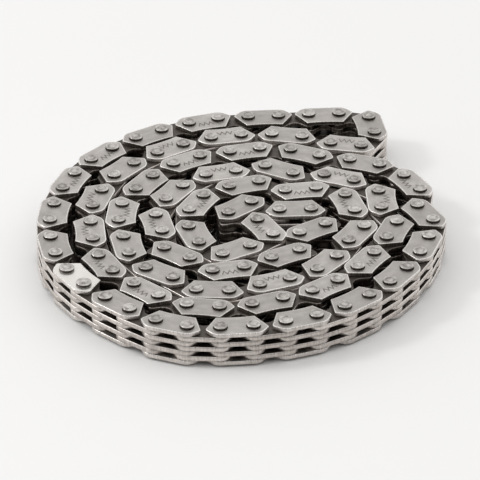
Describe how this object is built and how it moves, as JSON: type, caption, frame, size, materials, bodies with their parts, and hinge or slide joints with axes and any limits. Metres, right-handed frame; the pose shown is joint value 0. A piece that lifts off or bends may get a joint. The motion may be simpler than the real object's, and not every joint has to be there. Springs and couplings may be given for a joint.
{
  "type": "silent timing chain",
  "caption": "Endless silent chain of inverted-tooth link plates, guide plates and riveted pins, folded double and wound into a flat coil.",
  "frame": {"origin": "centre of the coil's outline, at the height of the lower pin ends it rests on", "axes": "+Z along the pins, upwards; +X to the right and +Y away when the coil is seen from the front, with the outer fold at the far right"},
  "size_m": [0.0816, 0.0886, 0.0081],
  "materials": {
    "guide_steel": "tumbled satin steel",
    "link_steel": "oiled satin steel with blanked edges",
    "pin_steel": "bright riveted pin ends",
    "coil_steel": "tumbled satin steel"
  },
  "bodies": {
    "coil": {"coil_section_01": "coil_steel", "coil_section_02": "coil_steel", "coil_section_03": "coil_steel", "coil_section_04": "coil_steel", "coil_section_05": "coil_steel", "coil_section_06": "coil_steel", "coil_section_07": "coil_steel", "coil_section_08": "coil_steel", "coil_section_09": "coil_steel", "coil_section_10": "coil_steel", "coil_section_11": "coil_steel", "coil_section_12": "coil_steel", "coil_section_13": "coil_steel", "coil_section_14": "coil_steel", "coil_section_15": "coil_steel", "coil_section_16": "coil_steel", "coil_section_17": "coil_steel", "coil_section_18": "coil_steel", "coil_section_19": "coil_steel", "coil_section_20": "coil_steel"},
    "fold_row_1": {"fold_row_1_lower_link_plate": "link_steel", "fold_row_1_middle_link_plate": "link_steel", "fold_row_1_upper_link_plate": "link_steel"},
    "fold_row_2": {"fold_row_2_bottom_guide_plate": "guide_steel", "fold_row_2_first_pin": "pin_steel", "fold_row_2_lower_link_plate": "link_steel", "fold_row_2_second_pin": "pin_steel", "fold_row_2_top_guide_plate": "guide_steel", "fold_row_2_upper_link_plate": "link_steel"},
    "fold_row_3": {"fold_row_3_lower_link_plate": "link_steel", "fold_row_3_middle_link_plate": "link_steel", "fold_row_3_upper_link_plate": "link_steel"},
    "fold_row_4": {"fold_row_4_bottom_guide_plate": "guide_steel", "fold_row_4_first_pin": "pin_steel", "fold_row_4_lower_link_plate": "link_steel", "fold_row_4_second_pin": "pin_steel", "fold_row_4_top_guide_plate": "guide_steel", "fold_row_4_upper_link_plate": "link_steel"},
    "fold_row_5": {"fold_row_5_lower_link_plate": "link_steel", "fold_row_5_middle_link_plate": "link_steel", "fold_row_5_upper_link_plate": "link_steel"},
    "fold_row_6": {"fold_row_6_bottom_guide_plate": "guide_steel", "fold_row_6_first_pin": "pin_steel", "fold_row_6_lower_link_plate": "link_steel", "fold_row_6_second_pin": "pin_steel", "fold_row_6_top_guide_plate": "guide_steel", "fold_row_6_upper_link_plate": "link_steel"},
    "fold_row_7": {"fold_row_7_lower_link_plate": "link_steel", "fold_row_7_middle_link_plate": "link_steel", "fold_row_7_upper_link_plate": "link_steel"},
    "fold_row_8": {"fold_row_8_bottom_guide_plate": "guide_steel", "fold_row_8_first_pin": "pin_steel", "fold_row_8_lower_link_plate": "link_steel", "fold_row_8_second_pin": "pin_steel", "fold_row_8_top_guide_plate": "guide_steel", "fold_row_8_upper_link_plate": "link_steel"},
    "fold_row_9": {"fold_row_9_lower_link_plate": "link_steel", "fold_row_9_middle_link_plate": "link_steel", "fold_row_9_upper_link_plate": "link_steel"}
  },
  "joints": [
    {"name": "pivot_1", "type": "hinge", "parent": "coil", "child": "fold_row_1", "pos_m": [-0.00534, 0.03865, 0], "axis": [0, 0, 1], "range_deg": [-2.3, 9.3]},
    {"name": "pivot_2", "type": "hinge", "parent": "fold_row_1", "child": "fold_row_2", "pos_m": [0.00094, 0.03957, 0], "axis": [0, 0, 1], "range_deg": [-6.4, 1.62]},
    {"name": "pivot_3", "type": "hinge", "parent": "fold_row_2", "child": "fold_row_3", "pos_m": [0.00726, 0.04018, 0], "axis": [0, 0, 1], "range_deg": [-1.33, 5.23]},
    {"name": "pivot_4", "type": "hinge", "parent": "fold_row_3", "child": "fold_row_4", "pos_m": [0.01357, 0.04093, 0], "axis": [0, 0, 1], "range_deg": [-7.07, 1.79]},
    {"name": "pivot_5", "type": "hinge", "parent": "fold_row_4", "child": "fold_row_5", "pos_m": [0.01989, 0.04155, 0], "axis": [0, 0, 1], "range_deg": [-8.06, 2.03]},
    {"name": "pivot_6", "type": "hinge", "parent": "fold_row_5", "child": "fold_row_6", "pos_m": [0.02608, 0.04016, 0], "axis": [0, 0, 1], "range_deg": [-1.48, 5.84]},
    {"name": "pivot_7", "type": "hinge", "parent": "fold_row_6", "child": "fold_row_7", "pos_m": [0.02718, 0.03391, 0], "axis": [0, 0, 1], "range_deg": [-2.2, 8.74]},
    {"name": "pivot_8", "type": "hinge", "parent": "fold_row_7", "child": "fold_row_8", "pos_m": [0.02432, 0.02824, 0], "axis": [0, 0, 1], "range_deg": [-1.02, 3.98]},
    {"name": "pivot_9", "type": "hinge", "parent": "fold_row_8", "child": "fold_row_9", "pos_m": [0.01803, 0.02914, 0], "axis": [0, 0, 1], "range_deg": [-12.03, 3.01]}
  ],
  "couplings": [
    {"joint": "pivot_2", "follows": "pivot_1", "ratio": -0.683},
    {"joint": "pivot_3", "follows": "pivot_1", "ratio": 0.5565},
    {"joint": "pivot_4", "follows": "pivot_1", "ratio": -0.7552},
    {"joint": "pivot_5", "follows": "pivot_1", "ratio": -0.8613},
    {"joint": "pivot_6", "follows": "pivot_1", "ratio": 0.6223},
    {"joint": "pivot_7", "follows": "pivot_1", "ratio": 0.9345},
    {"joint": "pivot_8", "follows": "pivot_1", "ratio": 0.4226},
    {"joint": "pivot_9", "follows": "pivot_1", "ratio": -1.2883}
  ]
}
